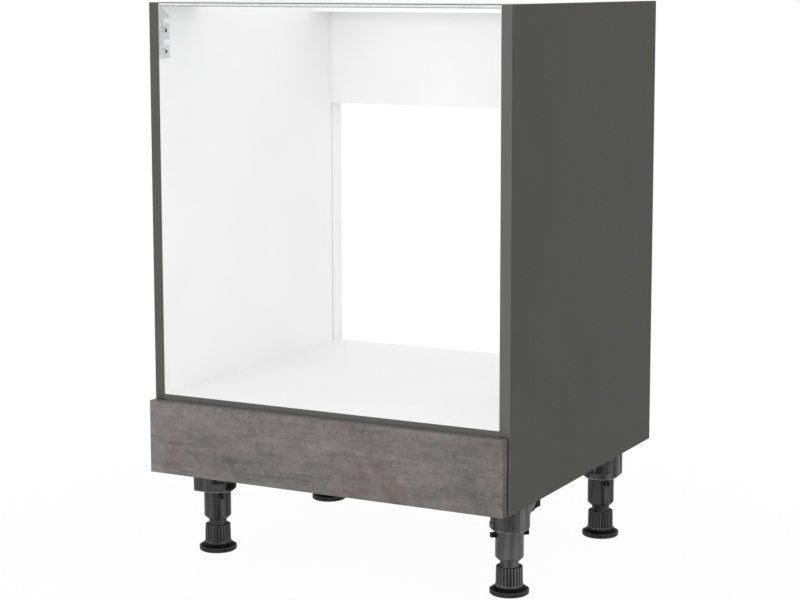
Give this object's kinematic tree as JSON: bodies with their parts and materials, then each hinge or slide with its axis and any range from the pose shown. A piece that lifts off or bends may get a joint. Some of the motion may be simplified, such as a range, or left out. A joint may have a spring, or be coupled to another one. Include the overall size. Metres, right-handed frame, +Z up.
{
  "type": "oven base cabinet",
  "caption": "Open kitchen base cabinet for a built-in oven: anthracite sides, white oven shelf, stone-look fascia, folded steel front traverse, screw-levelling plastic legs.",
  "frame": {"origin": "on the floor, under the centre of the whole cabinet's box, fascia included", "axes": "+Z up, the open front and the fascia towards -Y, +X to the right of someone facing the front"},
  "size_m": [0.6, 0.575, 0.865],
  "materials": {
    "white_board": "white melamine on chipboard, satin",
    "side_board": "chipboard with anthracite melamine outside and white melamine inside, satin",
    "anthracite_edge": "anthracite edge band, matt",
    "stone_decor": "chipboard with brushed stone-look decor, matt",
    "galvanised_steel": "galvanised sheet, dull",
    "zinc_steel": "zinc plated",
    "leg_plastic": "moulded black plastic, semi-matt",
    "beech": "bare beech"
  },
  "bodies": {
    "carcass": {"front_traverse": "galvanised_steel", "fascia": "stone_decor", "left_fascia_bracket": "zinc_steel", "right_fascia_bracket": "zinc_steel", "left_side_panel": "side_board", "right_side_panel": "side_board", "left_edge_band": "anthracite_edge", "right_edge_band": "anthracite_edge", "base_panel": "white_board", "oven_shelf": "white_board", "shelf_edge_band": "anthracite_edge", "rear_traverse": "white_board", "back_strip": "white_board", "cam_locks": "zinc_steel", "cam_bolts": "zinc_steel", "wooden_dowels": "beech", "traverse_screws": "zinc_steel", "fascia_screws": "zinc_steel", "leg_screws": "zinc_steel", "back_strip_screws": "zinc_steel", "front_left_leg_bracket": "leg_plastic", "front_left_leg_tube": "leg_plastic", "front_right_leg_bracket": "leg_plastic", "front_right_leg_tube": "leg_plastic", "rear_left_leg_bracket": "leg_plastic", "rear_left_leg_tube": "leg_plastic", "rear_right_leg_bracket": "leg_plastic", "rear_right_leg_tube": "leg_plastic"},
    "front_left_glide": {"front_left_foot_glide": "leg_plastic"},
    "front_left_screw": {"front_left_foot_screw": "leg_plastic"},
    "front_right_glide": {"front_right_foot_glide": "leg_plastic"},
    "front_right_screw": {"front_right_foot_screw": "leg_plastic"},
    "rear_left_glide": {"rear_left_foot_glide": "leg_plastic"},
    "rear_left_screw": {"rear_left_foot_screw": "leg_plastic"},
    "rear_right_glide": {"rear_right_foot_glide": "leg_plastic"},
    "rear_right_screw": {"rear_right_foot_screw": "leg_plastic"}
  },
  "joints": [
    {"name": "front_left_lift", "type": "slide", "parent": "carcass", "child": "front_left_glide", "axis": [0, 0, -1], "range_m": [-0.00605, 0.02005]},
    {"name": "front_left_turn", "type": "hinge", "parent": "front_left_glide", "child": "front_left_screw", "pos_m": [-0.255, -0.1675, 0.03], "axis": [0, 0, -1], "range_deg": [-360, 1200]},
    {"name": "front_right_lift", "type": "slide", "parent": "carcass", "child": "front_right_glide", "axis": [0, 0, -1], "range_m": [-0.00605, 0.02005]},
    {"name": "front_right_turn", "type": "hinge", "parent": "front_right_glide", "child": "front_right_screw", "pos_m": [0.255, -0.1675, 0.03], "axis": [0, 0, -1], "range_deg": [-360, 1200]},
    {"name": "rear_left_lift", "type": "slide", "parent": "carcass", "child": "rear_left_glide", "axis": [0, 0, -1], "range_m": [-0.00605, 0.02005]},
    {"name": "rear_left_turn", "type": "hinge", "parent": "rear_left_glide", "child": "rear_left_screw", "pos_m": [-0.255, 0.1875, 0.03], "axis": [0, 0, -1], "range_deg": [-360, 1200]},
    {"name": "rear_right_lift", "type": "slide", "parent": "carcass", "child": "rear_right_glide", "axis": [0, 0, -1], "range_m": [-0.00605, 0.02005]},
    {"name": "rear_right_turn", "type": "hinge", "parent": "rear_right_glide", "child": "rear_right_screw", "pos_m": [0.255, 0.1875, 0.03], "axis": [0, 0, -1], "range_deg": [-360, 1200]}
  ],
  "couplings": [
    {"joint": "front_left_lift", "follows": "front_left_turn", "m_per_rad": 0.00095493},
    {"joint": "front_right_lift", "follows": "front_right_turn", "m_per_rad": 0.00095493},
    {"joint": "rear_left_lift", "follows": "rear_left_turn", "m_per_rad": 0.00095493},
    {"joint": "rear_right_lift", "follows": "rear_right_turn", "m_per_rad": 0.00095493}
  ]
}
